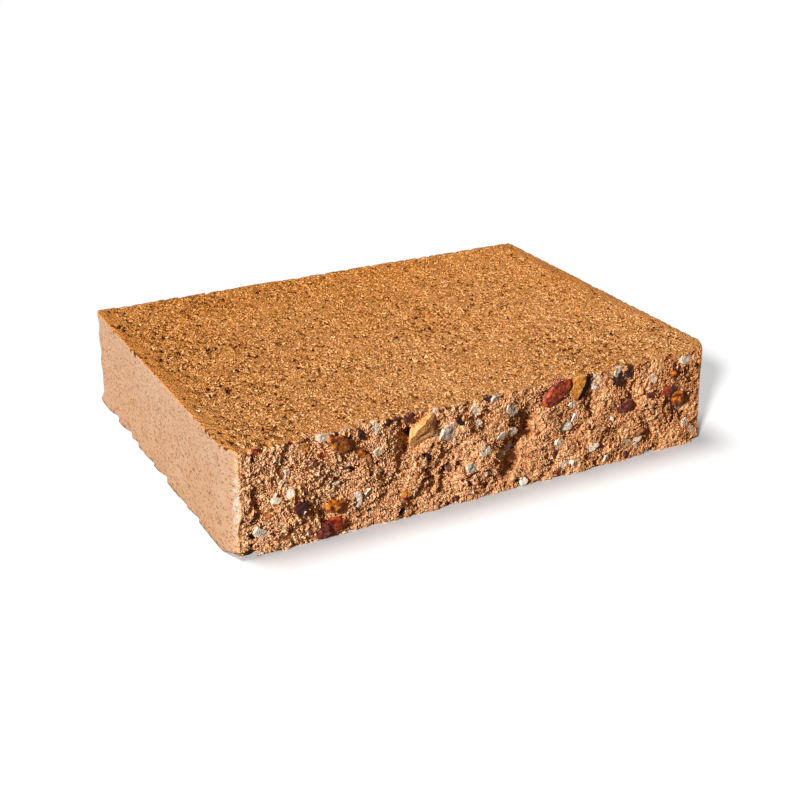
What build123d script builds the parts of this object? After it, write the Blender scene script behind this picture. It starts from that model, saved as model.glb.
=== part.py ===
from build123d import *

import math
import os
from typing import NamedTuple

# Split-faced capping block, moulded as one piece of earth-coloured dry-cast mix.
# Sizes are in millimetres. X runs along the wall, the split front looks to -Y, and Z is up.
# The origin is the middle of the bed face.


class Hollow(NamedTuple):
    """A long shallow hollow that the break left in a split face. Its lengths are in stones."""

    along: float  # its middle, measured along X from the middle of the block
    up: float  # its middle, measured up from the bed
    half_width: float
    half_length: float
    lean: float  # degrees from upright, with its top towards +X
    deep: float  # share of the break's relief, before it is set to size


class Ripple(NamedTuple):
    """A slow wave of the break across a split face. Its lengths are in stones."""

    along: float  # wave length along X
    up: float  # wave length along Z, negative where the crests lean the other way
    phase: float  # degrees
    deep: float  # share of the break's relief, before it is set to size


# Driving dimensions, over the proudest swells of the split faces
length = 300.0
depth = 220.0
height = 60.0

# V-grooves moulded at both ends, which lead the break: the flank that stays on the block
groove_reach = 5.5
groove_depth = 16.0

# Moulded edges
bed_arris = 1.5
top_arris = 0.8

# The largest stones of the mix set how coarsely it breaks
stone_size = 10.0

# Split faces: from the proudest swell to the deepest hollow
front_relief = 7.5
back_relief = 3.5

# The blade leads the top and bed edges along a line this far behind the proudest swell.
# It takes this share of the wander out of the edges, and its hold ends about this far inside them.
front_edge_set_back = 3.0
back_edge_set_back = 1.5
blade_share = 0.7
blade_reach = 9.0

# The break is drawn through points this far apart, and past the block on every side
break_pitch = 4.0
break_margin = 10.0

# Stock in front of a split face, which breaks away
broken_stock = 15.0

front_hollows = [
    Hollow(along=-13.8, up=3.6, half_width=0.7, half_length=3.4, lean=0.0, deep=1.0),
    Hollow(along=-12.6, up=4.4, half_width=0.6, half_length=1.4, lean=20.0, deep=0.5),
    Hollow(along=-5.3, up=4.4, half_width=0.7, half_length=1.5, lean=14.0, deep=0.9),
    Hollow(along=-4.3, up=1.4, half_width=0.7, half_length=1.8, lean=24.0, deep=0.8),
    Hollow(along=-2.8, up=2.4, half_width=0.6, half_length=2.0, lean=8.0, deep=0.9),
    Hollow(along=1.9, up=2.6, half_width=0.8, half_length=2.8, lean=21.0, deep=1.3),
    Hollow(along=6.6, up=3.4, half_width=0.7, half_length=1.4, lean=24.0, deep=0.6),
    Hollow(along=9.4, up=4.6, half_width=0.7, half_length=1.6, lean=-18.0, deep=0.7),
    Hollow(along=11.0, up=1.0, half_width=0.8, half_length=2.0, lean=-28.0, deep=1.0),
    Hollow(along=13.1, up=1.8, half_width=0.6, half_length=1.6, lean=26.0, deep=0.6),
]

front_ripples = [
    Ripple(along=11.2, up=-15.0, phase=40.0, deep=0.35),
    Ripple(along=6.1, up=8.4, phase=200.0, deep=0.30),
    Ripple(along=3.7, up=-5.8, phase=110.0, deep=0.26),
    Ripple(along=2.4, up=3.3, phase=20.0, deep=0.26),
    Ripple(along=4.6, up=1.9, phase=250.0, deep=0.22),
]

back_ripples = [
    Ripple(along=12.8, up=17.0, phase=300.0, deep=0.40),
    Ripple(along=5.7, up=-7.6, phase=75.0, deep=0.32),
    Ripple(along=3.3, up=6.1, phase=10.0, deep=0.28),
    Ripple(along=4.9, up=2.0, phase=330.0, deep=0.24),
]


def hollow_deep(hollow, x, z):
    """How far one hollow sets the break back at a point of the face."""
    lean = math.radians(hollow.lean)
    from_middle_x = x / stone_size - hollow.along
    from_middle_z = z / stone_size - hollow.up
    across = from_middle_x * math.cos(lean) - from_middle_z * math.sin(lean)
    lengthwise = from_middle_x * math.sin(lean) + from_middle_z * math.cos(lean)
    spread = (across / hollow.half_width) ** 2 + (lengthwise / hollow.half_length) ** 2
    return hollow.deep * math.exp(-spread)


def ripple_deep(ripple, x, z):
    """How far one ripple sets the break back at a point of the face."""
    turns = (x / ripple.along + z / ripple.up) / stone_size
    return ripple.deep * math.sin(math.tau * turns + math.radians(ripple.phase))


def break_deep(hollows, ripples, x, z):
    """All hollows and ripples of a split face, at a point of the face."""
    in_hollows = sum(hollow_deep(hollow, x, z) for hollow in hollows)
    in_ripples = sum(ripple_deep(ripple, x, z) for ripple in ripples)
    return in_hollows + in_ripples


def blade_hold(z):
    """How firmly the blade holds the break to its line: most at the top and bed, 0 well inside."""
    inside = max(0.0, min(z, height - z))
    return blade_share * math.exp(-((inside / blade_reach) ** 2))


def stations(low, high):
    """Evenly spaced places from low to high, about one break_pitch apart."""
    steps = math.ceil((high - low) / break_pitch)
    return [low + (high - low) * step / steps for step in range(steps + 1)]


def break_surface(hollows, ripples, relief, edge_set_back, proud_y, inward):
    """The surface of a break: its proudest swell at proud_y, its hollows set back along inward."""
    along_places = stations(-length / 2, length / 2)
    up_places = stations(0.0, height)
    on_block = [(x, z) for x in along_places for z in up_places]
    free_deeps = [break_deep(hollows, ripples, x, z) for x, z in on_block]
    scale = relief / (max(free_deeps) - min(free_deeps))

    def set_back(x, z):
        free = (break_deep(hollows, ripples, x, z) - min(free_deeps)) * scale
        return free + (edge_set_back - free) * blade_hold(z)

    proudest = min(set_back(x, z) for x, z in on_block)
    rows = []
    for x in [-length / 2 - break_margin] + along_places + [length / 2 + break_margin]:
        row = []
        for z in [-break_margin] + up_places + [height + break_margin]:
            row.append(Vector(x, proud_y + inward * (set_back(x, z) - proudest), z))
        rows.append(row)
    return Face.make_surface_from_array_of_points(rows)


front_break = break_surface(
    front_hollows, front_ripples, front_relief, front_edge_set_back, -depth / 2, 1.0
)
back_break = break_surface([], back_ripples, back_relief, back_edge_set_back, depth / 2, -1.0)

# Plan of the moulded blank, which is deeper than the block by the stock that breaks away
end_x = length / 2
groove_start_y = -depth / 2 + groove_depth
blank_front_y = -depth / 2 - broken_stock
blank_back_y = depth / 2 + broken_stock
blank_front_x = end_x - groove_reach * (groove_depth + broken_stock) / groove_depth

with BuildPart() as capping_block:
    with BuildSketch() as plan:
        with BuildLine():
            Polyline(
                (0.0, blank_back_y),
                (end_x, blank_back_y),
                (end_x, groove_start_y),
                (blank_front_x, blank_front_y),
                (0.0, blank_front_y),
            )
            mirror(about=Plane.YZ)
        make_face()
    extrude(amount=height)

    # Edges of the moulded ends, rounded along the bed and crisp along the top
    bed_edges = capping_block.faces().sort_by(Axis.Z)[0].edges()
    fillet(bed_edges.filter_by(Axis.X, reverse=True), bed_arris)
    top_edges = capping_block.faces().sort_by(Axis.Z)[-1].edges()
    fillet(top_edges.filter_by(Axis.X, reverse=True), top_arris)

    # Split faces: what stands in front of each break comes away
    extrude(front_break, amount=2 * broken_stock, dir=(0, -1, 0), mode=Mode.SUBTRACT)
    extrude(back_break, amount=2 * broken_stock, dir=(0, 1, 0), mode=Mode.SUBTRACT)

capping_block.part.label = "capping_block"

os.makedirs("parts", exist_ok=True)
export_step(capping_block.part, "parts/capping_block.step")
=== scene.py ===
import itertools
import math
from typing import NamedTuple

import bmesh
import bpy
import numpy as np
from mathutils import Matrix, Vector
from mathutils.bvhtree import BVHTree


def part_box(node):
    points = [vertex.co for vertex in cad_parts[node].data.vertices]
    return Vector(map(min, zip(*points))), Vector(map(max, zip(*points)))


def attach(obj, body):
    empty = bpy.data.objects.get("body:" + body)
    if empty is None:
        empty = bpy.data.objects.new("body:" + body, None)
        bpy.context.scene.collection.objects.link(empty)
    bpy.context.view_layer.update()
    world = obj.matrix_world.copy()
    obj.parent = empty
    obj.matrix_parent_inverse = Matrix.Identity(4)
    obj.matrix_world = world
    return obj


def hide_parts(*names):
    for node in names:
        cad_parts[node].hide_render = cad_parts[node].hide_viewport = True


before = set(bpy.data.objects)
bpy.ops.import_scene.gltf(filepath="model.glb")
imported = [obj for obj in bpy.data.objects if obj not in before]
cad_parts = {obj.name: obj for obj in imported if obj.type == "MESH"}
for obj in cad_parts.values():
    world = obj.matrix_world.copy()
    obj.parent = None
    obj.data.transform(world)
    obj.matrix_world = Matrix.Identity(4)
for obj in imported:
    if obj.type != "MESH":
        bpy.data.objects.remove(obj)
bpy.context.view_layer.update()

MM = 0.001
LEFT, FRONT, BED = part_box("capping_block")[0]
RIGHT, BACK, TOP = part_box("capping_block")[1]
LENGTH = RIGHT - LEFT
DEPTH = BACK - FRONT
HEIGHT = TOP - BED

# Bevels at both ends of the split front, and the moulded edges
GROOVE_REACH = 5.5 * MM
GROOVE_DEPTH = 16.0 * MM
BED_ARRIS = 1.5 * MM
TOP_ARRIS = 0.6 * MM

# Mesh of the block, before it is thinned out to its number of triangles
X_PITCH = 0.6 * MM
Y_PITCH = 1.0 * MM
Z_PITCH = 0.5 * MM
EDGE_STEPS = np.array([0.0, 0.22, 0.5, 0.85]) * MM
BODY_TRIANGLES = 195_000

# Seeds of what is random, so that every run gives the same block
FRONT_SEED = 100
BACK_SEED = 200
LEFT_SEED = 300
RIGHT_SEED = 400
TOP_SEED = 500
TOP_WEAR_SEED = 520
SPLIT_CHIP_SEED = 600
BED_WEAR_SEED = 610
END_CHIP_SEED = 620
BACK_EDGE_SEED = 640
STONE_SEED = 700
HOLE_SEED = 900


class Stone(NamedTuple):
    """A stone in the split front, in millimetres from the left end and up from the bed."""

    kind: str
    along: float
    up: float
    wide: float
    high: float
    lean: float = 0.0  # degrees anticlockwise, seen from the front
    proud: float = 0.5  # how far its broken face stands out of the split front


# Stones in the split front
STONES = [
    Stone("red", 13.5, 58.5, 4, 3),
    Stone("white", 49.5, 58.3, 6, 3.5),
    Stone("amber", 58, 53.8, 10, 7, -40, 1.6),
    Stone("maroon", 55, 58, 4, 3, -40),
    Stone("dark", 72, 55, 4, 4.5),
    Stone("yellow", 39, 54.5, 6, 4),
    Stone("amber", 70.5, 46, 4.5, 6.5, 20, 0.8),
    Stone("red", 49, 49, 3, 3.5),
    Stone("orange", 51, 48, 4, 4),
    Stone("brick", 42.5, 45.5, 6, 4, -20),
    Stone("white", 81, 43.5, 4.5, 4.5),
    Stone("white", 27.5, 37, 4.5, 3.5, -20),
    Stone("orange", 74.5, 39.5, 3.5, 5.5, 15),
    Stone("amber", 36, 31.5, 4, 4.5),
    Stone("maroon", 39.5, 30.5, 2.5, 3),
    Stone("maroon", 36, 22.5, 7.5, 7, 0, 1.4),
    Stone("white", 30.5, 32, 5, 4.5),
    Stone("white", 23, 30, 4.5, 3.5, 15),
    Stone("white", 57, 28.5, 6, 4),
    Stone("amber", 56, 18, 10.5, 5, 8, 1.4),
    Stone("white", 54.5, 16, 2.5, 2.5, 0, 1.6),
    Stone("red", 45.5, 15.5, 3, 3),
    Stone("white", 69, 17.5, 5.5, 7, -10),
    Stone("white", 75.5, 21, 3, 4),
    Stone("maroon", 48.5, 5.5, 8, 7, -20, 1.0),
    Stone("red", 55, 6, 12, 6.5, 15, 1.6),
    Stone("white", 15.5, 13, 8.5, 5, -25),
    Stone("dark", 21.5, 11.5, 3, 2),
    Stone("orange", 26.5, 7, 8, 4.5, 10),
    Stone("maroon", 99, 58.5, 4.5, 5),
    Stone("maroon", 91.5, 59, 3.5, 2.5),
    Stone("dark", 87.5, 57.5, 3, 4),
    Stone("white", 79, 57, 5, 5),
    Stone("dark", 76, 10.5, 4, 2.5),
    Stone("yellow", 98, 15, 5, 4),
    Stone("red", 98.5, 12, 4.5, 4.5),
    Stone("dark", 85, 29, 2, 3),
    Stone("red", 87.5, 32.5, 2, 2),
    Stone("white", 30.5, 43, 3, 3),
    Stone("orange", 20, 22, 4.5, 3, -20),
    Stone("tan", 107, 48, 11, 18.5, -38, 2.0),
    Stone("white", 123.5, 44.5, 10, 10.5, 20, 0.6),
    Stone("dark", 128, 51, 4, 5, 20),
    Stone("orange", 131, 50, 4, 5),
    Stone("white", 139, 53.5, 7, 5, -15),
    Stone("white", 140.5, 46, 4, 3),
    Stone("amber", 146.5, 50.5, 2.5, 3.5),
    Stone("white", 162, 51, 7, 8),
    Stone("maroon", 146, 59.5, 4.5, 4),
    Stone("white", 151.5, 57.8, 6, 4),
    Stone("red", 190.5, 53.5, 14, 9.5, 40, 1.8),
    Stone("white", 156, 35.5, 6, 3.5),
    Stone("white", 162, 36, 6, 4.5),
    Stone("white", 145, 29.5, 6, 5.5),
    Stone("white", 137, 21, 6.5, 6),
    Stone("white", 156, 22.5, 5, 5),
    Stone("white", 162.5, 25, 4, 7),
    Stone("red", 181.5, 30, 4, 2),
    Stone("brick", 187, 41, 4, 4),
    Stone("white", 198, 31.5, 7, 6),
    Stone("white", 195.5, 21.5, 5.5, 5),
    Stone("maroon", 194.5, 14.5, 4, 6),
    Stone("white", 199.5, 7, 5, 5),
    Stone("white", 172, 3, 4, 4),
    Stone("maroon", 129.5, 3.5, 4, 4),
    Stone("red", 195.5, 3, 3, 3),
    Stone("dark", 111, 33.5, 3, 3),
    Stone("red", 105.5, 28, 1.8, 1.8),
    Stone("white", 114, 47, 3.5, 4.5),
    Stone("white", 114.5, 57.8, 3, 4),
    Stone("brick", 124, 24, 3, 5),
    Stone("white", 148.5, 14.5, 3, 3),
    Stone("yellow", 204.5, 54, 6.5, 13, -20, 1.2),
    # Painted shadow: this dark stone is the shaded side of the yellow stone beside it
    Stone("dark", 209.5, 53.5, 4.5, 13, -20, 0.8),
    Stone("white", 217, 54.5, 6, 9, -12),
    Stone("white", 232, 57.3, 5, 5),
    Stone("dark", 232.5, 53, 9, 9.5, -20, 0.9),
    Stone("dark", 239, 57, 4, 7, 10),
    Stone("white", 256, 48.5, 4, 5.5, 30),
    Stone("amber", 269.5, 50, 5, 5),
    Stone("white", 280, 56.3, 6, 5),
    Stone("white", 288, 54, 2.5, 3),
    Stone("maroon", 256, 39, 6.5, 3.5, -35),
    Stone("red", 268, 38, 6, 7, 20, 1.0),
    Stone("maroon", 272.5, 38.5, 6, 5, -25, 0.8),
    Stone("amber", 275, 32.5, 9.5, 8, -35, 1.8),
    Stone("maroon", 239, 35, 8, 7, 20, 0.9),
    Stone("red", 258.5, 28.5, 6, 4.5, -25),
    Stone("orange", 250.5, 16.5, 7, 4, 20),
    Stone("dark", 217, 27.5, 5, 6),
    Stone("white", 205, 35, 5, 5.5),
    Stone("white", 202.5, 44, 6, 4),
    Stone("white", 217, 14.5, 7, 3.5, 15),
    Stone("white", 206, 6.5, 6, 4, -20),
    Stone("white", 243, 12.5, 5, 3.5),
    Stone("white", 250.5, 12, 4, 3),
    Stone("white", 249, 7.5, 4, 3),
    Stone("white", 228, 4, 3, 5),
    Stone("maroon", 243, 3, 3, 4),
    Stone("white", 291, 8, 3.5, 4),
    Stone("white", 286, 14, 5, 5),
    Stone("white", 278.5, 25.5, 6, 3),
    Stone("white", 265, 12, 3, 4),
    Stone("orange", 212.5, 49.5, 4, 2.5),
    Stone("white", 245.5, 44.5, 3, 4),
    Stone("white", 230, 28, 3, 3),
]


def on_front(along, up):
    """A place on the split front, in millimetres from the left end and up from the bed."""
    return (LEFT + along * MM, FRONT, BED + up * MM)


def on_top(along, back):
    """A place on the top, in millimetres from the left end and back from the front."""
    return (LEFT + along * MM, FRONT + back * MM, TOP)


def on_left_end(back, up):
    """A place on the left end, in millimetres back from the front and up from the bed."""
    return (LEFT, FRONT + back * MM, BED + up * MM)


class Spot(NamedTuple):
    """A torn-out hole or a pale grain: its middle, and its radius in millimetres."""

    middle: tuple
    radius: float


def spots(place, *rows):
    """Spots on a face: each row has the two measures of its place there, and its radius."""
    return [Spot(place(first, second), radius) for first, second, radius in rows]


# Holes and pale grains
FRONT_HOLES = spots(
    on_front,
    (10.5, 55, 3.0),
    (10, 45.5, 2.0),
    (8.5, 18, 2.8),
    (8.5, 10, 3.4),
    (9.5, 1, 4.5),
    (66, 36.5, 3.2),
    (100, 49, 3.6),
    (94, 4.5, 2.8),
    (122.5, 23.5, 3.0),
    (109, 34.5, 2.2),
    (205.5, 47.5, 2.4),
    (183, 51, 1.8),
    (171, 1, 2.6),
    (263, 1, 3.2),
    (288, 21, 1.8),
    (41.5, 48.5, 2.2),
    (27, 51.5, 1.8),
)
TOP_HOLES = spots(
    on_top,
    (28, 71, 2.4),
    (17, 69.5, 2.2),
    (24, 161.5, 2.4),
    (13, 195.5, 2.4),
    (48.5, 167.5, 2.4),
    (61, 34.5, 2.4),
    (64, 44.5, 2.2),
    (203, 117, 2.4),
    (207, 121, 1.9),
    (212, 124, 2.1),
    (223, 121, 2.1),
    (216, 109, 1.9),
    (191, 135, 1.9),
    (219, 94, 1.9),
    (263, 136, 2.1),
    (271, 132, 1.9),
    (139, 57, 2.1),
    (177, 42, 2.1),
    (201, 34, 2.1),
    (162, 22, 1.9),
    (128, 109, 1.9),
    (137, 94, 2.1),
    (75, 83, 2.6),
    (88, 106, 2.1),
    (43, 93, 2.1),
    (34, 134, 2.1),
    (10, 126, 1.9),
    (58, 208, 2.1),
    (260, 44, 2.6),
    (265, 47, 2.1),
    (234, 50, 2.2),
    (246, 40, 2.2),
    (268, 28, 2.1),
    (266, 72, 2.1),
    (293, 29, 2.1),
)
END_HOLES = spots(
    on_left_end,
    (16.5, 14.5, 2.6),
    (21, 14.5, 1.6),
    (66, 32, 1.5),
    (28.5, 35.5, 1.5),
)
TOP_FLECKS = spots(
    on_top,
    (159, 74, 1.3),
    (155, 54.5, 1.2),
    (121, 40, 1.5),
    (93, 99.5, 1.4),
    (12.5, 63.5, 1.1),
    (5, 56.5, 1.2),
    (34.5, 66.5, 1.1),
)


class Chip(NamedTuple):
    """A chip out of the foot of the left end, in millimetres from the middle of the block."""

    back: float
    reach: float


FOOT_CHIPS = [
    Chip(76, 4.5),
    Chip(51, 4.3),
    Chip(39, 2.0),
    Chip(11, 1.2),
    Chip(-11, 3.2),
    Chip(-41, 1.0),
    Chip(-60, 1.6),
]


# Noise, the same on every run

def scramble(cells, seed):
    """A number from 0 to 1 for each whole-number cell."""
    x, y, z = (cells[..., axis].astype(np.uint32) for axis in range(3))
    value = x * np.uint32(374761393) + y * np.uint32(668265263) + z * np.uint32(2246822519)
    value = value + np.uint32(seed * 3266489917 % 2**32)
    value = (value ^ (value >> np.uint32(13))) * np.uint32(1274126177)
    value = (value ^ (value >> np.uint32(16))) * np.uint32(2654435761)
    value = value ^ (value >> np.uint32(15))
    return value / 2**32


def soft_noise(points, size, seed):
    """Smooth noise from about -1 to 1, with lumps about one size across."""
    scaled = points / size
    corner = np.floor(scaled).astype(np.int64)
    inside = scaled - corner
    fade = inside**3 * (inside * (inside * 6 - 15) + 10)
    total = np.zeros(points.shape[:-1])
    for step in itertools.product((0, 1), repeat=3):
        weight = np.prod(np.where(np.array(step) == 1, fade, 1 - fade), axis=-1)
        for axis in range(3):
            slope = scramble(corner + step, seed + axis) * 2 - 1
            total += weight * slope * (inside[..., axis] - step[axis])
    return total * 1.7


def nearest_grain(points, size, seed, level_axis=None):
    """The nearest of many scattered grains: the way to its middle, in sizes, and its cell.

    With a level axis, the grains' middles lie in the face that is level along it.
    """
    scaled = points / size
    steps = [(0,) if axis == level_axis else (-1, 0, 1) for axis in range(3)]
    home = np.floor(scaled).astype(np.int64)
    nearest = np.full(points.shape[:-1], np.inf)
    way = np.zeros_like(scaled)
    cell = np.zeros_like(home)
    for step in itertools.product(*steps):
        other = home + step
        middle = other + np.stack([scramble(other, seed + axis) for axis in range(3)], axis=-1)
        away = middle - scaled
        if level_axis is not None:
            away[..., level_axis] = 0
        distance = np.sum(away**2, axis=-1)
        nearer = distance < nearest
        nearest = np.where(nearer, distance, nearest)
        way[nearer] = away[nearer]
        cell[nearer] = other[nearer]
    return way, cell


def pits(points, size, share, radius, seed, level_axis=None):
    """From 0 to 1, how deep in a pit each point lies, where a share of the grains is missing."""
    way, cell = nearest_grain(points, size, seed, level_axis)
    reach = radius / size * (0.5 + scramble(cell, seed + 4))
    bowl = np.clip(1 - np.sum(way**2, axis=-1) / reach**2, 0, 1)
    return np.where(scramble(cell, seed + 3) < share, bowl, 0.0)


def broken_facets(points, size, seed):
    """Flat facets at odd angles side by side, from about -1 to 1, as a broken lump has."""
    way, cell = nearest_grain(points, size, seed)
    level = scramble(cell, seed + 3) - 0.5
    for axis in range(3):
        level = level + way[..., axis] * (scramble(cell, seed + 4 + axis) * 2 - 1)
    return level


# Faces of the block

def lines(low, high, pitch):
    """Places from low to high about one pitch apart, and closer together at both edges."""
    margin = EDGE_STEPS[-1] + pitch
    count = math.ceil((high - low - 2 * margin) / pitch)
    inner = np.linspace(low + margin, high - margin, count + 1)
    return np.concatenate([low + EDGE_STEPS, inner, high - EDGE_STEPS[::-1]])


def box_skin(x_count, y_count, z_count):
    """Lattice points on the skin of a box of cells, and the quads between them, facing out."""
    counts = (x_count, y_count, z_count)
    strides = (1, x_count + 1, (x_count + 1) * (y_count + 1))
    quads = []
    for axis in range(3):
        across = (axis + 1) % 3
        along = (axis + 2) % 3
        a, b = np.meshgrid(np.arange(counts[across]), np.arange(counts[along]), indexing="ij")
        for side in (0, counts[axis]):
            corners = []
            for step_a, step_b in ((0, 0), (1, 0), (1, 1), (0, 1)):
                key = (a + step_a) * strides[across] + (b + step_b) * strides[along]
                corners.append(key.ravel() + side * strides[axis])
            quad = np.stack(corners, axis=1)
            quads.append(quad if side else quad[:, ::-1])
    keys, quads = np.unique(np.concatenate(quads), return_inverse=True)
    lattice = (keys % strides[1], keys % strides[2] // strides[1], keys // strides[2])
    return lattice, quads.reshape(-1, 4)


def split_plane(tree, x_lines, z_lines, way):
    """Y of the CAD block's split face where the lines cross, looking along way."""
    x_inside = np.clip(x_lines, LEFT + GROOVE_REACH, RIGHT - GROOVE_REACH)
    z_inside = np.clip(z_lines, BED + BED_ARRIS, TOP - TOP_ARRIS)
    found = np.empty((len(x_lines), len(z_lines)))
    for column, x in enumerate(x_inside):
        for row, z in enumerate(z_inside):
            hit = tree.ray_cast(Vector((x, -way * DEPTH, z)), Vector((0, way, 0)))[0]
            found[column, row] = hit.y
    return found


def face_points(first, second, fixed, order):
    """Points of a lattice on one face, with first and second on two axes and fixed on the third."""
    a, b = np.meshgrid(first, second, indexing="ij")
    parts = {"first": a, "second": b, "fixed": np.full_like(a, fixed)}
    return np.stack([parts[name] for name in order], axis=-1)


def split_roughness(points, fine, seed):
    """How far lumps, broken facets and missing grains set a split face back, and its pits."""
    rough = 0.5 * MM * soft_noise(points, 10 * MM, seed)
    rough += 1.0 * MM * broken_facets(points, 5.5 * MM, seed + 10)
    rough += fine * broken_facets(points, 2.6 * MM, seed + 20)
    rough += 0.7 * fine * soft_noise(points, 1.6 * MM, seed + 25)
    missing = pits(points, 4.5 * MM, 0.2, 1.5 * MM, seed + 30)
    rough += 1.6 * MM * missing
    return rough - rough.mean(), missing


def spot_depth(points, torn_spots, seed):
    """From 0 to 1, how deep in one of the torn-out spots each point lies."""
    deepest = np.zeros(points.shape[:-1])
    ragged = soft_noise(points, 2.5 * MM, seed)
    for spot in torn_spots:
        away = np.linalg.norm(points - spot.middle, axis=-1) / (spot.radius * MM) + 0.3 * ragged
        deepest = np.maximum(deepest, np.clip(1.8 - 1.8 * away**2, 0, 1))
    return deepest


def stone_reach(stone, x, z):
    """Distance from the middle of a stone on the split front, 1 at its outline."""
    lean = math.radians(stone.lean)
    x_away = x - (LEFT + stone.along * MM)
    z_away = z - (BED + stone.up * MM)
    across = x_away * math.cos(lean) + z_away * math.sin(lean)
    upright = z_away * math.cos(lean) - x_away * math.sin(lean)
    return np.hypot(across / (stone.wide * MM / 2), upright / (stone.high * MM / 2))


def stone_sockets(x, z):
    """From 0 to 1, how deep in the socket of a stone each point of the front lies."""
    deepest = np.zeros(np.shape(x))
    for stone in STONES:
        deepest = np.maximum(deepest, np.clip(2.5 * (1.0 - stone_reach(stone, x, z)), 0, 1))
    return deepest


# Sand has come out of the top towards the left end, from this far on, and around a patch
WORN_END_REACH = 130 * MM
WORN_PATCH = on_top(245, 30)
WORN_PATCH_RADIUS = 45 * MM


def top_wear(points):
    """From 0 to 1, how much sand has come out of the top: most at the left and at the front right."""
    from_left = (points[..., 0] - LEFT) / WORN_END_REACH
    from_patch = np.hypot(points[..., 0] - WORN_PATCH[0], (points[..., 1] - WORN_PATCH[1]) * 2)
    worn = 0.1 + 0.5 * np.clip(1 - from_left, 0, 1)
    worn += 0.7 * np.exp(-((from_patch / WORN_PATCH_RADIUS) ** 2))
    worn += 0.5 * soft_noise(points, 35 * MM, TOP_WEAR_SEED)
    worn += 0.5 * soft_noise(points, 12 * MM, TOP_WEAR_SEED + 5)
    return np.clip(worn, 0, 1)


def top_roughness(points, seed):
    """How far the sandy top lies below its plane, and its pits."""
    rough = 0.25 * MM * soft_noise(points, 30 * MM, seed + 5)
    ragged = points + 0.6 * MM * soft_noise(points, 1.8 * MM, seed + 15)[..., None]
    missing_share = 0.05 + 0.6 * top_wear(points)
    holes = pits(ragged, 4.4 * MM, missing_share, 1.25 * MM, seed + 40, level_axis=2)
    holes = np.maximum(np.clip(1.8 * holes, 0, 1), spot_depth(points, TOP_HOLES, seed))
    return rough + 1.3 * MM * holes + 0.1 * MM, holes


def end_roughness(points, seed):
    """How far a moulded end lies inside its plane, and its pores, which crowd towards the bed."""
    low_down = np.clip(1 - (points[..., 2] - BED) / HEIGHT, 0, 1)
    rough = 0.25 * MM * soft_noise(points, 28 * MM, seed)
    rough += 0.12 * MM * soft_noise(points, 5 * MM, seed + 10)
    pores = pits(points, 4.5 * MM, 0.02 + 0.16 * low_down**2, 0.9 * MM, seed + 20)
    torn = pits(points, 8 * MM, 0.45 * low_down**4, 2.0 * MM, seed + 30)
    torn = np.maximum(torn, spot_depth(points, END_HOLES, seed))
    slump = 1.2 * MM * low_down**3
    return rough + 0.8 * MM * pores + 1.3 * MM * torn - slump, np.maximum(pores, torn)


def arris(inside, radius):
    """How far a rounded edge falls below its face, at a distance inside the edge."""
    reach = np.clip(radius - inside, 0, radius)
    return radius - np.sqrt(radius**2 - reach**2)


def foot_chips(y, z):
    """How far the foot of the left end is chipped away, along the end and up from the bed."""
    reach = np.zeros_like(y)
    for chip in FOOT_CHIPS:
        away = y - chip.back * MM
        slope = np.where(away < 0, 1.2 * MM, 9.0 * MM)
        reach = np.maximum(reach, chip.reach * MM * np.exp(-((away / slope) ** 2)))
    return reach * np.exp(-(((z - BED) / (5 * MM)) ** 2))


def corner_wear(x, y):
    """How far the bed is worn away at the two front corners."""
    left_corner = np.hypot(x - (LEFT + GROOVE_REACH), y - FRONT)
    right_corner = np.hypot(x - (RIGHT - GROOVE_REACH), y - FRONT)
    left_lift = 4.5 * MM * np.exp(-((left_corner / (11 * MM)) ** 2))
    return left_lift + 3.5 * MM * np.exp(-((right_corner / (7 * MM)) ** 2))


def mesh_object(name, points, faces, attributes=None, smooth=True):
    """A mesh object with one value or colour for each point and attribute."""
    mesh = bpy.data.meshes.new(name)
    mesh.from_pydata(points, [], faces)
    for title, values in (attributes or {}).items():
        values = np.asarray(values, dtype=np.float32)
        kind = "FLOAT" if values.ndim == 1 else "FLOAT_COLOR"
        layer = mesh.attributes.new(title, kind, "POINT")
        layer.data.foreach_set("value" if values.ndim == 1 else "color", values.ravel())
    if smooth:
        mesh.shade_smooth()
    thing = bpy.data.objects.new(name, mesh)
    bpy.context.scene.collection.objects.link(thing)
    return thing


def thin_out(thing, triangles, kept):
    """Leaves about this number of triangles, most of them where the surface is roughest or kept."""
    count = sum(len(face.vertices) - 2 for face in thing.data.polygons)
    group = thing.vertex_groups.new(name="thinned")
    group.add(np.nonzero(~kept)[0].tolist(), 1.0, "REPLACE")
    thinner = thing.modifiers.new("thinner", "DECIMATE")
    thinner.vertex_group = group.name
    thinner.ratio = triangles / count
    evaluated = thing.evaluated_get(bpy.context.evaluated_depsgraph_get())
    thinned = bpy.data.meshes.new_from_object(evaluated)
    thing.modifiers.clear()
    thing.vertex_groups.clear()
    thing.data = thinned
    thinned.shade_smooth()


def sharpen_split_faces(mesh):
    """Leaves the facets of the split faces sharp, as a break does."""
    split = np.empty(len(mesh.vertices), dtype=np.float32)
    mesh.attributes["split"].data.foreach_get("value", split)
    smooth = [not all(split[corner] > 0.9 for corner in face.vertices) for face in mesh.polygons]
    mesh.polygons.foreach_set("use_smooth", smooth)


class Relief(NamedTuple):
    """A face as it came out, for what is set into it: its level where two sets of lines cross."""

    first_lines: np.ndarray
    second_lines: np.ndarray
    level: np.ndarray

    def sample(self, first, second):
        """The level at the line crossing next to each place."""
        column = np.clip(np.searchsorted(self.first_lines, first), 0, len(self.first_lines) - 1)
        row = np.clip(np.searchsorted(self.second_lines, second), 0, len(self.second_lines) - 1)
        return self.level[column, row]


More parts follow.
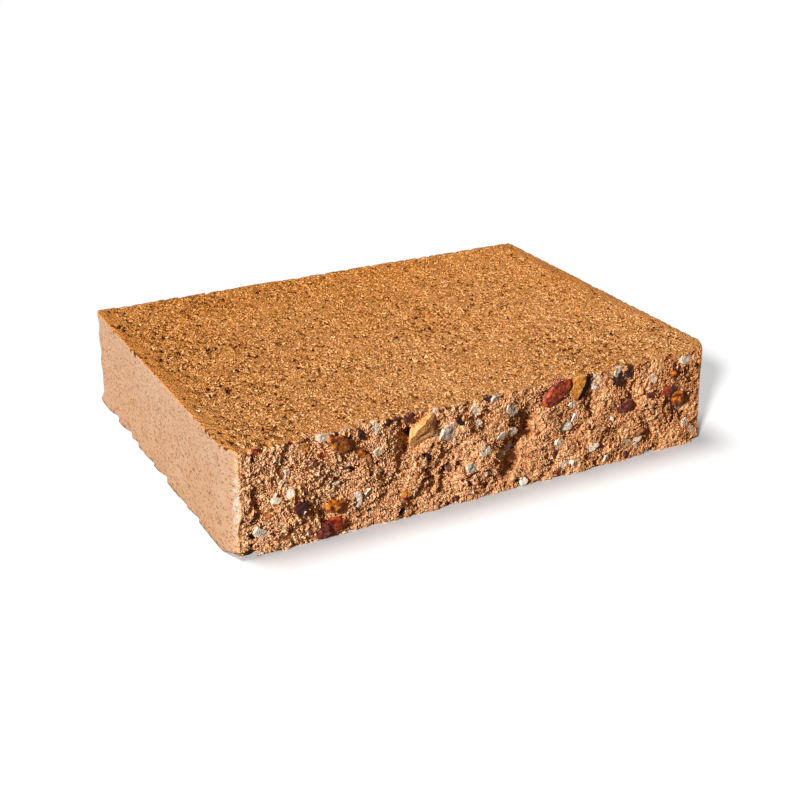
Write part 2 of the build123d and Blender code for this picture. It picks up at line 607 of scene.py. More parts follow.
class SplitFace(NamedTuple):
    """A split face as it came out, where the X lines and the Z lines cross."""

    swells: np.ndarray  # Y of the CAD block's split face
    rough: np.ndarray  # how far its roughness sets it back
    level: np.ndarray  # Y in the end
    pits: np.ndarray  # from 0 to 1, how deep in a pit or a hole
    sockets: np.ndarray  # from 0 to 1, how deep in the socket of a stone


def calm_at_ends(x_lines):
    """Share of its roughness that a split face keeps, least close to both ends."""
    return np.clip(np.minimum(x_lines - LEFT, RIGHT - x_lines) / (4 * MM), 0.1, 1)[:, None]


def split_front(tree, x_lines, z_lines):
    """The split front, with torn-out holes and with sockets for its stones."""
    points = face_points(x_lines, z_lines, FRONT, ("first", "fixed", "second"))
    swells = split_plane(tree, x_lines, z_lines, 1.0)
    rough, missing = split_roughness(points, 0.55 * MM, FRONT_SEED)
    holes = spot_depth(points, FRONT_HOLES, HOLE_SEED)
    sockets = stone_sockets(points[..., 0], points[..., 2])
    level = swells + calm_at_ends(x_lines) * rough * (1 - 0.5 * sockets)
    level = level + 3.5 * MM * holes + 0.6 * MM * sockets
    return SplitFace(swells, rough, level, np.maximum(missing, holes), sockets)


def split_back(tree, x_lines, z_lines):
    """The split back, which is calm towards the top and has no sockets."""
    points = face_points(x_lines, z_lines, BACK, ("first", "fixed", "second"))
    swells = split_plane(tree, x_lines, z_lines, -1.0)
    rough, missing = split_roughness(points, 0.3 * MM, BACK_SEED)
    calm = calm_at_ends(x_lines) * np.clip((TOP - z_lines) / (6 * MM), 0.2, 1)
    return SplitFace(swells, rough, swells - calm * rough, missing, np.zeros_like(rough))


def end_levels(x, y, z, foot, left_rough, right_rough):
    """X of the left and the right end at each point, with their bevels, chips and worn corners."""
    upwards = (z - BED) / HEIGHT
    forwards = np.clip((FRONT + GROOVE_DEPTH - y) / GROOVE_DEPTH, 0, 1)
    worn_corner = MM * forwards**2 * (0.7 + 4.3 * upwards)
    up_the_edge = np.stack([x, np.zeros_like(x), z], axis=-1)
    broken_back = 1.5 * MM + 1.8 * MM * soft_noise(up_the_edge, 7 * MM, BACK_EDGE_SEED)
    broken_back = np.clip(broken_back, 0, None) * np.exp(-(((BACK - y) / (4 * MM)) ** 2))
    left_x = LEFT + GROOVE_REACH * forwards + 0.8 * foot + left_rough + broken_back
    right_x = RIGHT - GROOVE_REACH * forwards - worn_corner - right_rough - broken_back
    return left_x, right_x


def top_chips(surface, towards_front, inside_split, inside_end):
    """How far the top's edges are chipped away: most along the front, least along the ends."""
    along_split = np.clip(soft_noise(surface, 6 * MM, SPLIT_CHIP_SEED), 0, 1)
    along_split = along_split * np.exp(-inside_split / (1.6 * MM))
    along_split = along_split * np.where(towards_front, 2.0 * MM, 1.5 * MM)
    along_end = 1.2 * MM * np.clip(soft_noise(surface, 3.5 * MM, END_CHIP_SEED), 0, 1)
    return along_split + along_end * np.exp(-inside_end / (1.2 * MM))


def bed_wear(surface, left_foot, inside_edge):
    """How far the bed's edges are worn away."""
    wear = corner_wear(surface[..., 0], surface[..., 1]) + 0.3 * left_foot
    wear = wear + 0.4 * MM * soft_noise(surface, 5 * MM, BED_WEAR_SEED)
    return np.clip(wear, 0, None) * np.exp(-((inside_edge / (1.8 * MM)) ** 2))


def hollow_shade_share(face, inward, reach):
    """From 0 to 1, how far into a hollow of a split face each point lies, for the painted shade there.
    """
    behind = inward * (face.swells - face.swells.mean())
    return np.clip(0.35 + face.rough / (2.4 * MM) + behind / reach, 0, 1)


def edge_bloom(y, upwards):
    """From 0 to 1, how much pale bloom lies along the front edge of the left end."""
    along_edge = np.exp(-(((y - FRONT - 4.5 * MM) / (2.0 * MM)) ** 2))
    return along_edge * np.clip(np.minimum(upwards / 0.35, (0.85 - upwards) / 0.2), 0, 1)


def block_body():
    """The whole block as one closed mesh, and the relief of its faces."""
    x_lines = lines(LEFT, RIGHT, X_PITCH)
    y_lines = lines(FRONT, BACK, Y_PITCH)
    z_lines = lines(BED, TOP, Z_PITCH)
    (i, j, k), quads = box_skin(len(x_lines) - 1, len(y_lines) - 1, len(z_lines) - 1)
    x, y, z = x_lines[i], y_lines[j], z_lines[k]
    rightwards = (x - LEFT) / LENGTH
    backwards = (y - FRONT) / DEPTH
    upwards = (z - BED) / HEIGHT

    # Split faces
    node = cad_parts["capping_block"]
    tree = BVHTree.FromObject(node, bpy.context.evaluated_depsgraph_get())
    front = split_front(tree, x_lines, z_lines)
    back = split_back(tree, x_lines, z_lines)
    front_y = front.level[i, k]
    back_y = back.level[i, k]
    y = y + (front_y - FRONT) * (1 - backwards) + (back_y - BACK) * backwards

    # Moulded ends
    left_points = face_points(y_lines, z_lines, LEFT, ("fixed", "first", "second"))
    right_points = face_points(y_lines, z_lines, RIGHT, ("fixed", "first", "second"))
    left_rough, left_pits = end_roughness(left_points, LEFT_SEED)
    right_rough, right_pits = end_roughness(right_points, RIGHT_SEED)
    foot = foot_chips(y, z)
    left_x, right_x = end_levels(x, y, z, foot, left_rough[j, k], right_rough[j, k])
    x = left_x * (1 - rightwards) + right_x * rightwards

    # Top and bed
    top_points = face_points(x_lines, y_lines, TOP, ("first", "second", "fixed"))
    top_rough, top_pits = top_roughness(top_points, TOP_SEED)
    inside_end = np.minimum(x - left_x, right_x - x)
    inside_split = np.minimum(y - front_y, back_y - y)
    surface = np.stack([x, y, np.zeros_like(x)], axis=-1)
    chip = top_chips(surface, backwards < 0.5, inside_split, inside_end)
    top_z = TOP - top_rough[i, j] - arris(inside_end, TOP_ARRIS) - chip
    bed_z = BED + bed_wear(surface, foot * (1 - rightwards), np.minimum(inside_end, inside_split))
    z = bed_z * (1 - upwards) + top_z * upwards

    # What each point shows, for the material
    at_left = i == 0
    at_right = i == len(x_lines) - 1
    at_front = j == 0
    at_back = j == len(y_lines) - 1
    at_top = k == len(z_lines) - 1
    split = (at_front | at_back).astype(float)
    skin = (at_left | at_right) * (1 - split)
    # Painted shade: how far into the pits and torn-out holes each point lies, for darkening them in the
    # material
    pit_shade = np.zeros_like(x)
    for at_face, values in (
        (at_front, front.pits[i, k]),
        (at_back, back.pits[i, k]),
        (at_left, left_pits[j, k]),
        (at_right, right_pits[j, k]),
        (at_top, top_pits[i, j]),
    ):
        pit_shade = np.maximum(pit_shade, np.where(at_face, values, 0.0))
    # Painted shade: the split faces are darkened by the material where they lie back in a hollow
    front_hollow_shade = hollow_shade_share(front, 1.0, 10 * MM)[i, k]
    back_hollow_shade = hollow_shade_share(back, -1.0, 20 * MM)[i, k]
    hollow_shade = np.where(backwards < 0.5, front_hollow_shade, back_hollow_shade) * split
    bloom = edge_bloom(y, upwards) * at_left
    attributes = {"split": split, "skin": skin, "pit_shade": pit_shade, "hollow_shade": hollow_shade, "bloom": bloom}
    thing = mesh_object("block_body", np.stack([x, y, z], axis=-1), quads, attributes)
    thin_out(thing, BODY_TRIANGLES, (pit_shade > 0.02) & (split == 0))
    sharpen_split_faces(thing.data)
    reliefs = {
        "front": Relief(x_lines, z_lines, front.level),
        "front_swells": Relief(x_lines, z_lines, front.swells),
        "front_sockets": Relief(x_lines, z_lines, front.sockets),
        "back": Relief(x_lines, z_lines, back.level),
        "back_sockets": Relief(x_lines, z_lines, back.sockets),
        "top": Relief(x_lines, y_lines, TOP - top_rough),
        "top_holes": Relief(x_lines, y_lines, top_pits),
    }
    return thing, reliefs


# Stones and grains

# A stone starts as a ball somewhat larger than its outline, because flats take some of it away.
# Its lumps are a share of its half size, and edges that turn by more than the angle stay sharp.
STONE_SUBDIVISIONS = 4
STONE_ALLOWANCE = 1.25
STONE_LUMPS = 0.09
STONE_EDGE_ANGLE = math.radians(20)


def unit_ball():
    """Points and triangles of a ball of radius 1."""
    builder = bmesh.new()
    bmesh.ops.create_icosphere(builder, subdivisions=STONE_SUBDIVISIONS, radius=1.0)
    points = np.array([vertex.co for vertex in builder.verts])
    faces = np.array([[vertex.index for vertex in face.verts] for face in builder.faces])
    builder.free()
    return points, faces


# From the middle of a stone to its broken face, as a share of its half depth
BROKEN_REACH = 0.35


def shard(ball, random):
    """A ball broken down to flats, the first of them its broken face, towards -Y."""
    flats = random.normal(size=(12, 3))
    flats[0] = (0.0, -1.0, 0.0) + 0.18 * flats[0]
    flats /= np.linalg.norm(flats, axis=1)[:, None]
    reach = random.uniform(0.72, 1.0, len(flats))
    reach[0] = BROKEN_REACH
    radius = np.min(reach / np.maximum(ball @ flats.T, 0.05), axis=1)
    return ball * np.minimum(radius, 1.15)[:, None]


def front_stones(swells, kind, seed):
    """All stones of one kind, set into the split front, as one mesh."""
    random = np.random.default_rng(seed)
    ball, ball_faces = unit_ball()
    points = []
    faces = []
    tints = []
    for stone in STONES:
        if stone.kind != kind:
            continue
        size = np.array([stone.wide, min(stone.wide, stone.high), stone.high]) * MM
        half = size / 2 * STONE_ALLOWANCE
        pebble = shard(ball, random)
        pebble += STONE_LUMPS * soft_noise(pebble + random.uniform(0, 50), 0.45, seed)[:, None] * ball
        turn = np.array(Matrix.Rotation(math.radians(-stone.lean), 3, "Y"))
        x = LEFT + stone.along * MM
        z = BED + stone.up * MM
        y = swells.sample(x, z) - stone.proud * MM + BROKEN_REACH * half[1]
        faces.append(ball_faces + len(points) * len(ball))
        points.append((pebble * half) @ turn.T + (x, y, z))
        tints.append(np.full(len(ball), random.uniform()))
    points = np.concatenate(points)
    points[:, 2] = np.clip(points[:, 2], BED, TOP)
    tints = np.concatenate(tints)
    thing = mesh_object(f"{kind}_stones", points, np.concatenate(faces), {"tint": tints})
    thing.data.set_sharp_from_angle(angle=STONE_EDGE_ANGLE)
    return thing


class Grit(NamedTuple):
    """One kind of sand grain: how common it is, and its colour."""

    share: float
    colour: tuple


SPLIT_GRIT = [
    Grit(0.44, (0.83, 0.475, 0.245)),
    Grit(0.27, (0.72, 0.365, 0.160)),
    Grit(0.10, (0.32, 0.105, 0.028)),
    Grit(0.11, (0.72, 0.52, 0.34)),
    Grit(0.05, (0.44, 0.14, 0.042)),
    Grit(0.03, (0.09, 0.025, 0.006)),
]
PALE_GRIT = [
    Grit(0.6, (0.74, 0.62, 0.49)),
    Grit(0.4, (0.66, 0.50, 0.36)),
]
TOP_GRIT = [
    Grit(0.65, (0.62, 0.326, 0.128)),
    Grit(0.35, (0.69, 0.415, 0.212)),
]
# Painted shade: very dark grains that stand in for the shade in the top's pits
PIT_SHADE_GRIT = [
    Grit(0.6, (0.085, 0.022, 0.002)),
    Grit(0.4, (0.17, 0.050, 0.006)),
]


class Scatter(NamedTuple):
    """Sand grains scattered over a face: their number, their middle size and their kinds."""

    name: str
    count: int
    size: float
    palette: list
    seed: int


# Numbers of grains, before those in sockets, in holes or where the top is not worn are left out
FRONT_SAND = Scatter("front_grains", 48_000, 0.75 * MM, SPLIT_GRIT, 801)
FRONT_PALE_SAND = Scatter("pale_grains", 260, 1.9 * MM, PALE_GRIT, 805)
BACK_SAND = Scatter("back_grains", 24_000, 0.85 * MM, SPLIT_GRIT, 802)
TOP_SAND = Scatter("top_grains", 36_000, 1.2 * MM, TOP_GRIT, 803)
TOP_PIT_SHADE_SAND = Scatter("top_pit_shade_grains", 34_000, 1.15 * MM, PIT_SHADE_GRIT, 806)
FLECK_SEED = 804


def grain_sizes(scatter, random):
    """Diameters of sand grains, most of them near the middle size."""
    sizes = scatter.size * np.exp(random.normal(0, 0.35, scatter.count))
    return np.clip(sizes, 0.5 * scatter.size, 2 * scatter.size)


# A grain has four points, and a side across from each of them
GRAIN_FACES = np.array([(0, 1, 2), (0, 3, 1), (0, 2, 3), (1, 3, 2)])


def random_grain_points(count, random):
    """Four points for each grain, around its middle, at random lengths and turned at random."""
    first = random.normal(size=(count, 3))
    first /= np.linalg.norm(first, axis=1)[:, None]
    second = np.cross(first, random.normal(size=(count, 3)))
    second /= np.linalg.norm(second, axis=1)[:, None]
    third = np.cross(first, second)
    corners = [
        first + second + third,
        first - second - third,
        -first + second - third,
        -first - second + third,
    ]
    return np.stack(corners, axis=1) / math.sqrt(3) * random.uniform(0.9, 1.6, (count, 4, 1))


def grains(name, places, sizes, palette, random, tint=1.0):
    """Sharp sand grains at their places, as one mesh."""
    count = len(places)
    kind = random.choice(len(palette), count, p=[grit.share for grit in palette])
    points = random_grain_points(count, random) * sizes[:, None, None] / 2 + places[:, None]
    points[..., 2] = np.maximum(points[..., 2], BED)
    faces = GRAIN_FACES[None] + 4 * np.arange(count)[:, None, None]
    colours = np.array([grit.colour for grit in palette])[kind]
    colours = colours * random.uniform(0.8, 1.15, (count, 1)) * tint
    colours = np.concatenate([colours, np.ones((count, 1))], axis=1)
    attributes = {"grit": np.repeat(colours, 4, axis=0)}
    return mesh_object(name, points.reshape(-1, 3), faces.reshape(-1, 3), attributes, smooth=False)


def warmth(x):
    """Share of red, green and blue along a split face, which is warmer to the right."""
    rightwards = (x - LEFT) / LENGTH
    return np.stack([1 - 0.22 * rightwards, 1 - 0.36 * rightwards, 1 - 0.50 * rightwards], axis=-1)


def top_warmth(y):
    """Share of red, green and blue along the depth of the top, which is redder to the back."""
    backwards = (y - FRONT) / DEPTH
    return np.stack([1 - 0.03 * backwards, 1 - 0.13 * backwards, 1 - 0.38 * backwards], axis=-1)


def split_grains(scatter, face, sockets, out):
    """Sand grains that stand out of a split face between its stones; out is its way out along Y."""
    random = np.random.default_rng(scatter.seed)
    x = random.uniform(LEFT + GROOVE_REACH, RIGHT - 1.6 * GROOVE_REACH, scatter.count)
    z = random.uniform(BED + 1.0 * MM, TOP - 2.0 * MM, scatter.count)
    sizes = grain_sizes(scatter, random)
    places = np.stack([x, face.sample(x, z) - out * 0.15 * sizes, z], axis=-1)
    left_in = sockets.sample(x, z) < 0.4
    tint = warmth(x[left_in])
    return grains(scatter.name, places[left_in], sizes[left_in], scatter.palette, random, tint)


def places_on_top(count, random):
    """X and Y of places scattered over the top, clear of its edges."""
    x = random.uniform(LEFT + 1.5 * GROOVE_REACH, RIGHT - 1.5 * GROOVE_REACH, count)
    y = random.uniform(FRONT + 6 * MM, BACK - 4 * MM, count)
    return x, y


def top_grains(scatter, top, holes):
    """Sand grains that stand a little out of the top, where it has no holes."""
    random = np.random.default_rng(scatter.seed)
    x, y = places_on_top(scatter.count, random)
    sizes = grain_sizes(scatter, random)
    places = np.stack([x, y, top.sample(x, y) - 0.2 * sizes], axis=-1)
    left_in = holes.sample(x, y) < 0.03
    tint = top_warmth(y[left_in])
    return grains(scatter.name, places[left_in], sizes[left_in], scatter.palette, random, tint)


def top_pit_shade_grains(scatter, top):
    """Dark grains in the top, painted shade that stands in for shadowed pits, most of them where sand
    has come out of it.
    """
    random = np.random.default_rng(scatter.seed)
    x, y = places_on_top(scatter.count, random)
    worn = top_wear(np.stack([x, y, np.full(scatter.count, TOP)], axis=-1))
    sizes = grain_sizes(scatter, random)
    places = np.stack([x, y, top.sample(x, y) - 0.1 * sizes], axis=-1)
    left_in = random.uniform(size=scatter.count) < 0.15 + 0.4 * worn
    return grains(scatter.name, places[left_in], sizes[left_in], scatter.palette, random)


def top_flecks(top):
    """Pale grains in the top, as one mesh."""
    random = np.random.default_rng(FLECK_SEED)
    sizes = np.array([2 * spot.radius * MM for spot in TOP_FLECKS])
    places = np.array([spot.middle for spot in TOP_FLECKS])
    places[:, 2] = top.sample(places[:, 0], places[:, 1]) - 0.3 * sizes
    return grains("top_flecks", places, sizes, PALE_GRIT, random)


def loose_sand(reliefs):
    """All sand grains that stand out of the block, one mesh for each kind, with dark grains as painted
    shade on the top.
    """
    front = reliefs["front"]
    front_sockets = reliefs["front_sockets"]
    top = reliefs["top"]
    return [
        split_grains(FRONT_SAND, front, front_sockets, -1.0),
        split_grains(FRONT_PALE_SAND, front, front_sockets, -1.0),
        split_grains(BACK_SAND, reliefs["back"], reliefs["back_sockets"], 1.0),
        top_grains(TOP_SAND, top, reliefs["top_holes"]),
        top_pit_shade_grains(TOP_PIT_SHADE_SAND, top),
        top_flecks(top),
    ]


# Materials

def add_node(tree, kind, inputs=None, **settings):
    """A node with settings, and its inputs set to values or linked to other nodes' sockets."""
    node = tree.nodes.new(kind)
    for name, value in settings.items():
        setattr(node, name, value)
    for name, value in (inputs or {}).items():
        if isinstance(value, bpy.types.NodeSocket):
            tree.links.new(value, node.inputs[name])
        else:
            node.inputs[name].default_value = value
    return node


def attribute(tree, name, output="Fac"):
    """The value or colour that a mesh attribute has at each point."""
    return add_node(tree, "ShaderNodeAttribute", attribute_name=name).outputs[output]


def noise(tree, place, size, detail=2.0):
    """Noise from 0 to 1 with lumps about one size across."""
    inputs = {"Vector": place, "Scale": 1 / size, "Detail": detail}
    return add_node(tree, "ShaderNodeTexNoise", inputs).outputs["Fac"]


def ramp(tree, value, *stops):
    """Colours along a value: stops are places with their colours."""
    node = add_node(tree, "ShaderNodeValToRGB", {"Fac": value})
    elements = node.color_ramp.elements
    while len(elements) < len(stops):
        elements.new(0.5)
    for element, (place, colour) in zip(elements, stops):
        element.position = place
        element.color = (*colour, 1.0)
    return node.outputs["Color"]


def grade(tree, value, low, high, low_out=0.0, high_out=1.0):
    """A value from low to high turned into one from low_out to high_out."""
    inputs = {"Value": value, "From Min": low, "From Max": high, "To Min": low_out, "To Max": high_out}
    return add_node(tree, "ShaderNodeMapRange", inputs).outputs["Result"]


def calculate(tree, operation, first, second):
    """A sum, difference or product of two values."""
    return add_node(tree, "ShaderNodeMath", {0: first, 1: second}, operation=operation).outputs["Value"]


def mix(tree, share, first, second, blend="MIX"):
    """Two colours mixed."""
    node = add_node(tree, "ShaderNodeMix", data_type="RGBA", blend_type=blend)
    for place, value in ((0, share), (6, first), (7, second)):
        if isinstance(value, bpy.types.NodeSocket):
            tree.links.new(value, node.inputs[place])
        elif place == 0:
            node.inputs[place].default_value = value
        else:
            node.inputs[place].default_value = (*value, 1.0)
    return node.outputs[2]


def grain_cells(tree, place, size):
    """A random number for each grain, and the distance to its middle."""
    node = add_node(tree, "ShaderNodeTexVoronoi", {"Vector": place, "Scale": 1 / size})
    number = add_node(tree, "ShaderNodeSeparateColor", {"Color": node.outputs["Color"]}).outputs["Red"]
    return number, node.outputs["Distance"]


def new_material(name):
    """An empty node material with its shader, and object coordinates in metres."""
    material = bpy.data.materials.new(name)
    material.use_nodes = True
    tree = material.node_tree
    tree.nodes.clear()
    shader = add_node(tree, "ShaderNodeBsdfPrincipled")
    add_node(tree, "ShaderNodeOutputMaterial", {"Surface": shader.outputs["BSDF"]})
    place = add_node(tree, "ShaderNodeTexCoord").outputs["Object"]
    return material, tree, shader, place


def add_bump(tree, shader, height, strength, distance):
    """Bump on a shader, from a height over the surface."""
    inputs = {"Height": height, "Strength": strength, "Distance": distance}
    bump = add_node(tree, "ShaderNodeBump", inputs)
    tree.links.new(bump.outputs["Normal"], shader.inputs["Normal"])


def grey(level):
    """A colour that darkens or lightens what it is multiplied with."""
    return (level, level, level)


def top_colour(tree, place, grain, grain_edge):
    """Sand from tan at the front to orange at the back, with lighter and darker grains and painted
    shade in the gaps between them.
    """
    back = add_node(tree, "ShaderNodeSeparateXYZ", {"Vector": place}).outputs["Y"]
    backwards = grade(tree, back, FRONT, BACK, -0.3, 0.3)
    redness = calculate(tree, "ADD", noise(tree, place, 70 * MM), backwards)
    sand = ramp(tree, redness, (0.2, (0.68, 0.310, 0.088)), (0.8, (0.65, 0.240, 0.040)))
    shades = ramp(tree, grain, (0.0, grey(0.5)), (0.2, grey(0.8)), (0.5, grey(0.95)), (1.0, grey(1.0)))
    sand = mix(tree, 1.0, sand, shades, "MULTIPLY")
    # Painted shade: the gaps between the grains are darkened
    return mix(tree, grade(tree, grain_edge, 0.4, 0.7, 0.0, 0.5), sand, (0.17, 0.050, 0.007))


def skin_colour(tree, place):
    """Peach skin of the moulded ends, with darker specks drawn out along the mould."""
    up = add_node(tree, "ShaderNodeSeparateXYZ", {"Vector": place}).outputs["Z"]
    drawn_out = add_node(tree, "ShaderNodeMapping", {"Vector": place, "Scale": (1.0, 0.6, 1.0)})
    grain, _ = grain_cells(tree, drawn_out.outputs["Vector"], 0.9 * MM)
    upwards = grade(tree, up, BED, TOP, -0.2, 0.2)
    patch = calculate(tree, "ADD", noise(tree, place, 18 * MM, 5.0), upwards)
    skin = ramp(tree, patch, (0.2, (0.368, 0.203, 0.109)), (0.8, (0.396, 0.253, 0.163)))
    specks = ramp(tree, grain, (0.0, (0.52, 0.40, 0.32)), (0.18, (0.87, 0.81, 0.76)), (0.5, grey(1.0)))
    return mix(tree, 1.0, skin, specks, "MULTIPLY")


def torn_colour(tree, place, grain):
    """Earth between the stones of a split face, browner in patches, with painted shade in its recesses.
    """
    along = add_node(tree, "ShaderNodeSeparateXYZ", {"Vector": place}).outputs["X"]
    patch = noise(tree, place, 14 * MM, 4.0)
    earth = ramp(
        tree, grain,
        (0.0, (0.36, 0.15, 0.056)), (0.2, (0.68, 0.35, 0.16)), (0.5, (0.86, 0.50, 0.255)),
        (0.8, (0.92, 0.60, 0.35)), (0.97, (0.94, 0.71, 0.50)),
    )
    earth = mix(tree, grade(tree, patch, 0.35, 0.7, 0.0, 0.45), earth, (0.55, 0.235, 0.082))
    warmer = ramp(tree, grade(tree, along, LEFT, RIGHT), (0.0, grey(1.0)), (1.0, (0.82, 0.68, 0.54)))
    earth = mix(tree, 1.0, earth, warmer, "MULTIPLY")
    # Painted shade: darker and browner where the split face lies in a hollow
    painted_hollow_shade = ramp(
        tree, attribute(tree, "hollow_shade"),
        (0.2, grey(1.0)), (0.55, (0.90, 0.80, 0.70)), (0.95, (0.42, 0.23, 0.11)),
    )
    return mix(tree, 1.0, earth, painted_hollow_shade, "MULTIPLY")


def earth_material():
    """Sandy top, peach skin on the moulded ends, and granular split faces, with painted shade in pits,
    holes and hollows.
    """
    material, tree, shader, place = new_material("earth_mix")
    split = attribute(tree, "split")
    skin = attribute(tree, "skin")
    grain, grain_edge = grain_cells(tree, place, 0.95 * MM)
    fine = noise(tree, place, 1.6 * MM, 3.0)

    colour = mix(tree, skin, top_colour(tree, place, grain, grain_edge), skin_colour(tree, place))
    colour = mix(tree, split, colour, torn_colour(tree, place, grain))
    bloom = calculate(tree, "MULTIPLY", attribute(tree, "bloom"), grade(tree, fine, 0.42, 0.62))
    colour = mix(tree, calculate(tree, "MULTIPLY", bloom, 0.85), colour, (0.70, 0.64, 0.59))
    # Painted shade: pits and holes are darkened toward near black, less on the moulded ends
    pit_shade = grade(tree, attribute(tree, "pit_shade"), 0.1, 0.7)
    dark = calculate(tree, "MULTIPLY", pit_shade, grade(tree, skin, 0, 1, 0.85, 0.5))
    colour = mix(tree, dark, colour, (0.095, 0.026, 0.004))
    tree.links.new(colour, shader.inputs["Base Color"])
    shader.inputs["Roughness"].default_value = 0.9
    shader.inputs["Specular IOR Level"].default_value = 0.08

    sharp = calculate(tree, "MULTIPLY", noise(tree, place, 0.9 * MM, 3.0), 2.0)
    relief = calculate(tree, "MULTIPLY", calculate(tree, "ADD", fine, sharp), 0.35)
    relief = calculate(tree, "SUBTRACT", relief, calculate(tree, "MULTIPLY", grain_edge, 0.4))
    strength = grade(tree, skin, 0, 1, 1.0, 0.4)
    add_bump(tree, shader, relief, strength, 1.6 * MM)
    return material


def grain_material():
    """Sand grains, each in its own colour."""
    material, tree, shader, _ = new_material("sand_grain")
    tree.links.new(attribute(tree, "grit", "Color"), shader.inputs["Base Color"])
    shader.inputs["Roughness"].default_value = 0.9
    shader.inputs["Specular IOR Level"].default_value = 0.03
    return material


class StoneLook(NamedTuple):
    """Three colours of a stone from its dark veins to its light ones, and its roughness."""

    dark: tuple
    main: tuple
    light: tuple
    roughness: float


STONE_LOOKS = {
    "white": StoneLook((0.58, 0.40, 0.26), (0.71, 0.59, 0.465), (0.82, 0.73, 0.615), 0.8),
    "red": StoneLook((0.06, 0.008, 0.005), (0.30, 0.030, 0.009), (0.52, 0.11, 0.018), 0.4),
    "maroon": StoneLook((0.025, 0.008, 0.008), (0.10, 0.018, 0.014), (0.22, 0.05, 0.03), 0.42),
    "brick": StoneLook((0.13, 0.045, 0.028), (0.30, 0.10, 0.05), (0.42, 0.17, 0.09), 0.6),
    "orange": StoneLook((0.22, 0.06, 0.02), (0.48, 0.17, 0.05), (0.62, 0.30, 0.11), 0.5),
    "amber": StoneLook((0.06, 0.010, 0.005), (0.36, 0.080, 0.009), (0.68, 0.25, 0.020), 0.38),
    "yellow": StoneLook((0.30, 0.09, 0.015), (0.56, 0.22, 0.034), (0.70, 0.34, 0.08), 0.5),
    "dark": StoneLook((0.012, 0.005, 0.003), (0.035, 0.011, 0.007), (0.09, 0.028, 0.014), 0.8),
    "tan": StoneLook((0.58, 0.24, 0.07), (0.76, 0.36, 0.12), (0.82, 0.45, 0.19), 0.55),
}


def stone_material(kind, look):
    """A stone with cloudy veins, lighter or darker from stone to stone."""
    material, tree, shader, place = new_material(f"{kind}_stone")
    cloud = noise(tree, place, 2.2 * MM, 4.0)
    colour = ramp(tree, cloud, (0.38, look.dark), (0.5, look.main), (0.64, look.light))
    shades = ramp(tree, attribute(tree, "tint"), (0.0, grey(0.8)), (1.0, grey(1.0)))
    colour = mix(tree, 1.0, colour, shades, "MULTIPLY")
    tree.links.new(colour, shader.inputs["Base Color"])
    shader.inputs["Roughness"].default_value = look.roughness
    shader.inputs["Specular IOR Level"].default_value = 0.2
    rough = noise(tree, place, 1.0 * MM, 3.0)
    add_bump(tree, shader, rough, 0.8, 0.8 * MM)
    return material


# Stage: the camera, a pale floor, and light from the left

CAMERA_AZIMUTH = math.radians(-29.05)
CAMERA_ELEVATION = math.radians(24.84)
CAMERA_ROLL = math.radians(0.82)
CAMERA_DISTANCE = 0.7867
FOCAL_PIXELS = 1303.5
IMAGE_PIXELS = 800

# Middle of the block between the edges of its split faces, and where it lies in the picture
BLOCK_MIDDLE = Vector((0.0, 0.6 * MM, 30.0 * MM))
BLOCK_PIXEL = (395.9, 374.3)

FLOOR_HALF_WIDTH = 6.0
SURROUND_STRENGTH = 0.045


class Sun(NamedTuple):
    """A sun: its strength, how wide it is in degrees, the way towards it, and its colour."""

    name: str
    energy: float
    width: float
    towards: tuple
    colour: tuple = (1.0, 1.0, 1.0)


BLOCK_SUNS = [
    Sun("key", energy=7.3, width=5.0, towards=(-0.86, -0.30, 0.43)),
    Sun("back_fill", energy=2.5, width=20.0, towards=(0.77, 0.64, 0.05)),
    Sun("warm_fill", energy=0.5, width=150.0, towards=(0.0, -0.5, 0.87), colour=(1.0, 0.44, 0.10)),
]
FLOOR_SUNS = [
    Sun("floor_light", energy=2.0, width=24.0, towards=(-0.22, 0.20, 0.955)),
    Sun("floor_fill", energy=3.5, width=6.0, towards=(-0.692, -0.561, 0.454)),
]


def add_camera():
    """A camera that sees the middle of the block at its pixel in the picture."""
    camera = bpy.data.cameras.new("camera")
    camera.sensor_width = 36.0
    camera.lens = camera.sensor_width * FOCAL_PIXELS / IMAGE_PIXELS
    thing = bpy.data.objects.new("camera", camera)
    bpy.context.scene.collection.objects.link(thing)
    turn = Matrix.Rotation(CAMERA_AZIMUTH, 3, "Z")
    turn = turn @ Matrix.Rotation(math.pi / 2 - CAMERA_ELEVATION, 3, "X")
    turn = turn @ Matrix.Rotation(CAMERA_ROLL, 3, "Z")
    right_of_middle = (BLOCK_PIXEL[0] - IMAGE_PIXELS / 2) * CAMERA_DISTANCE / FOCAL_PIXELS
    below_middle = (BLOCK_PIXEL[1] - IMAGE_PIXELS / 2) * CAMERA_DISTANCE / FOCAL_PIXELS
    place = BLOCK_MIDDLE - turn @ Vector((right_of_middle, -below_middle, -CAMERA_DISTANCE))
    thing.matrix_world = Matrix.Translation(place) @ turn.to_4x4()
    bpy.context.scene.camera = thing


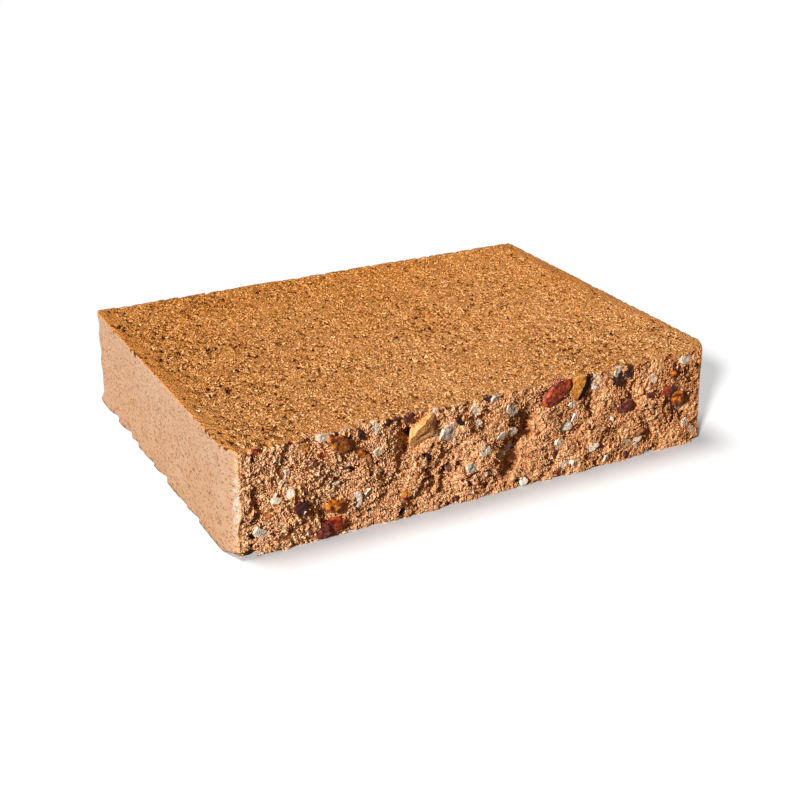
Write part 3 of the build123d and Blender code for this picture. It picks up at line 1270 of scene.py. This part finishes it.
def add_floor():
    """A wide pale floor under the block, which throws no light back at it."""
    half = FLOOR_HALF_WIDTH
    corners = [(-half, -half, BED), (half, -half, BED), (half, half, BED), (-half, half, BED)]
    floor = mesh_object("floor", corners, [(0, 1, 2, 3)])
    material = bpy.data.materials.new("floor")
    material.use_nodes = True
    shader = material.node_tree.nodes["Principled BSDF"]
    shader.inputs["Base Color"].default_value = (0.9, 0.9, 0.9, 1.0)
    shader.inputs["Roughness"].default_value = 0.9
    floor.data.materials.append(material)
    floor.visible_diffuse = False
    return floor


def add_sun(sun, lit):
    """A sun that shines on the lit things only."""
    light = bpy.data.lights.new(sun.name, "SUN")
    light.energy = sun.energy
    light.color = sun.colour
    light.angle = math.radians(sun.width)
    thing = bpy.data.objects.new(sun.name, light)
    bpy.context.scene.collection.objects.link(thing)
    thing.rotation_euler = Vector(sun.towards).to_track_quat("Z", "Y").to_euler()
    group = bpy.data.collections.new(f"{sun.name}_lit")
    for other in lit:
        group.objects.link(other)
    thing.light_linking.receiver_collection = group


def add_surround():
    """An even white surround."""
    scene = bpy.context.scene
    scene.world = bpy.data.worlds.new("studio")
    scene.world.use_nodes = True
    surround = scene.world.node_tree.nodes["Background"]
    surround.inputs["Color"].default_value = (1.0, 1.0, 1.0, 1.0)
    surround.inputs["Strength"].default_value = SURROUND_STRENGTH
    scene.view_settings.view_transform = "Standard"


def dress_block():
    """The block with its stones and sand, each with its material, as pieces of the CAD block."""
    body, reliefs = block_body()
    body.data.materials.append(earth_material())
    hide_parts("capping_block")
    pieces = [body]
    for number, (kind, look) in enumerate(STONE_LOOKS.items()):
        stones = front_stones(reliefs["front_swells"], kind, STONE_SEED + number)
        stones.data.materials.append(stone_material(kind, look))
        pieces.append(stones)
    sand = grain_material()
    for loose in loose_sand(reliefs):
        loose.data.materials.append(sand)
        pieces.append(loose)
    for piece in pieces:
        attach(piece, "root")
    return pieces


pieces = dress_block()
floor = add_floor()
add_surround()
for sun in BLOCK_SUNS:
    add_sun(sun, pieces)
for sun in FLOOR_SUNS:
    add_sun(sun, [floor])
add_camera()
